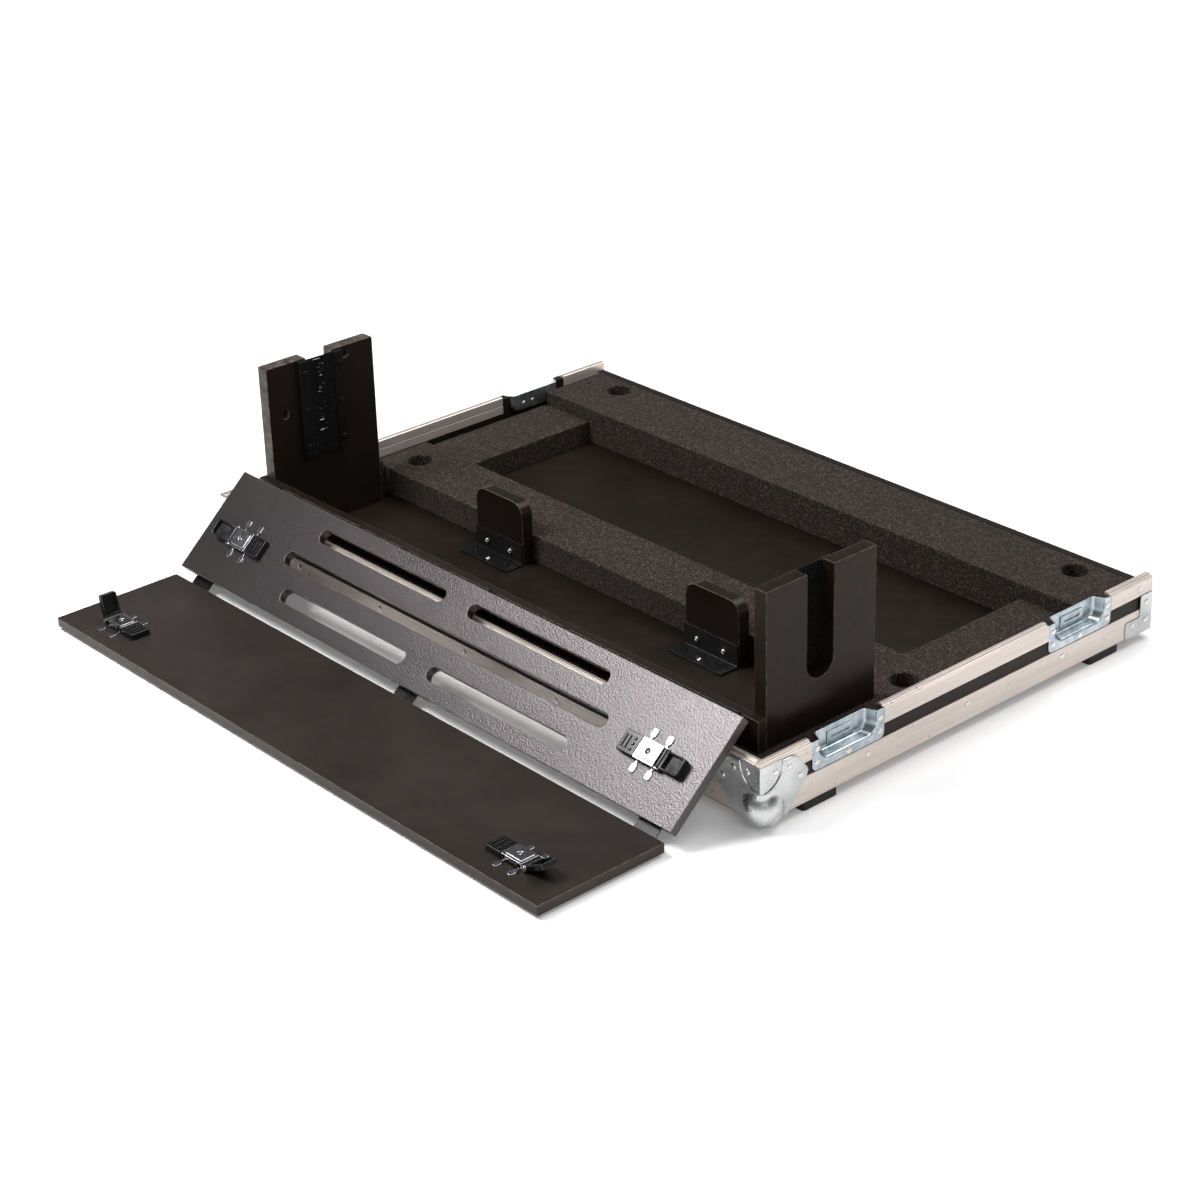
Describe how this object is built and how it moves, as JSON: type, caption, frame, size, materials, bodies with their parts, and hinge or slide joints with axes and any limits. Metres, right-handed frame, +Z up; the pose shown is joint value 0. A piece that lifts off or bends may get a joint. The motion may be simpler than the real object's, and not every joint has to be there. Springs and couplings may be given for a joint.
{
  "type": "flight case base tray with a fold-out cable compartment",
  "caption": "Low foam-lined flight case base for a mixer, with aluminium edges, recessed latch dishes and a folding slotted cable cover.",
  "frame": {"origin": "on the ground plane under the middle of the whole object as stored, with the cable cover folded out", "axes": "+X along the case's width, +Y from the folded-out cover towards the rear, +Z up"},
  "size_m": [1.01, 0.9374, 0.256],
  "materials": {
    "laminated_board": "black-brown phenolic laminate, satin",
    "textured_board": "black laminate with a fine raised texture",
    "warm_board": "dark brown laminate with a warm sheen",
    "extruded_aluminium": "satin, drawn lengthwise",
    "corner_steel": "zinc plated, satin",
    "zinc_steel": "bluish zinc plate, satin",
    "rivet_steel": "plated, satin",
    "black_steel": "black, semi-gloss",
    "steel_pin": "plain",
    "foot_plastic": "black, matt",
    "foam": null,
    "black_bristle": "black nylon strands",
    "latch_plastic": "black, glossy"
  },
  "bodies": {
    "tray": {"floor_panel": "laminated_board", "front_wall": "laminated_board", "rear_wall": "laminated_board", "left_wall": "laminated_board", "right_wall": "laminated_board", "bottom_rail_front": "extruded_aluminium", "bottom_rail_rear": "extruded_aluminium", "bottom_rail_left": "extruded_aluminium", "bottom_rail_right": "extruded_aluminium", "top_rail_front": "extruded_aluminium", "top_rail_left": "extruded_aluminium", "top_rail_right": "extruded_aluminium", "ball_corner_left": "corner_steel", "ball_corner_right": "corner_steel", "upper_corner_plates": "corner_steel", "rear_corner_brackets": "zinc_steel", "latch_dishes_left": "zinc_steel", "latch_dishes_right": "zinc_steel", "dish_keepers": "zinc_steel", "rail_rivets": "rivet_steel", "dish_rivets": "rivet_steel", "corner_rivets": "rivet_steel", "feet": "foot_plastic", "foam_front_bar": "foam", "foam_rear_bar": "foam", "foam_left_bar": "foam", "foam_right_bar": "foam", "foam_linings": "foam", "hinge_plank": "laminated_board", "left_end_board": "laminated_board", "right_end_board": "warm_board", "left_brush_holders": "black_steel", "right_brush_holders": "black_steel", "left_bristles": "black_bristle", "right_bristles": "black_bristle", "tray_screws": "rivet_steel", "left_stop_board": "laminated_board", "right_stop_board": "laminated_board", "left_stop_bracket": "black_steel", "right_stop_bracket": "black_steel", "plank_hinge_leaves": "black_steel", "plank_hinge_pins": "steel_pin"},
    "slotted_flap": {"slotted_panel": "textured_board", "panel_upper_leaves": "black_steel", "panel_lower_leaves": "black_steel", "lid_hinge_pins": "steel_pin", "panel_latch_bases": "latch_plastic", "panel_latch_saddles": "zinc_steel", "panel_latch_pins": "steel_pin", "panel_latch_rivets": "rivet_steel"},
    "lid_flap": {"lid_panel": "laminated_board", "lid_hinge_leaves": "black_steel", "lid_latch_bases": "latch_plastic", "lid_latch_saddles": "zinc_steel", "lid_latch_pins": "steel_pin", "lid_latch_rivets": "rivet_steel"},
    "left_panel_lever": {"left_panel_lever": "latch_plastic"},
    "right_panel_lever": {"right_panel_lever": "latch_plastic"},
    "left_lid_lever": {"left_lid_lever": "latch_plastic"},
    "right_lid_lever": {"right_lid_lever": "latch_plastic"}
  },
  "joints": [
    {"name": "panel_hinge", "type": "hinge", "parent": "tray", "child": "slotted_flap", "pos_m": [0, -0.16316, 0.1075], "axis": [-1, 0, 0], "range_deg": [0, 131.78]},
    {"name": "lid_hinge", "type": "hinge", "parent": "slotted_flap", "child": "lid_flap", "pos_m": [0, -0.28694, 0.0032], "axis": [-1, 0, 0], "range_deg": [0, 48.22]},
    {"name": "left_panel_lever_pivot", "type": "hinge", "parent": "slotted_flap", "child": "left_panel_lever", "pos_m": [-0.3965, -0.24024, 0.07175], "axis": [0, 0.7457, 0.6663], "range_deg": [-10, 95]},
    {"name": "right_panel_lever_pivot", "type": "hinge", "parent": "slotted_flap", "child": "right_panel_lever", "pos_m": [0.3965, -0.24024, 0.07175], "axis": [0, -0.7457, -0.6663], "range_deg": [-4, 101]},
    {"name": "left_lid_lever_pivot", "type": "hinge", "parent": "lid_flap", "child": "left_lid_lever", "pos_m": [-0.397, -0.42424, 0.0212], "axis": [0, 1, 0], "range_deg": [-76, 29]},
    {"name": "right_lid_lever_pivot", "type": "hinge", "parent": "lid_flap", "child": "right_lid_lever", "pos_m": [0.397, -0.42424, 0.0212], "axis": [0, -1, 0], "range_deg": [-26, 79]}
  ]
}
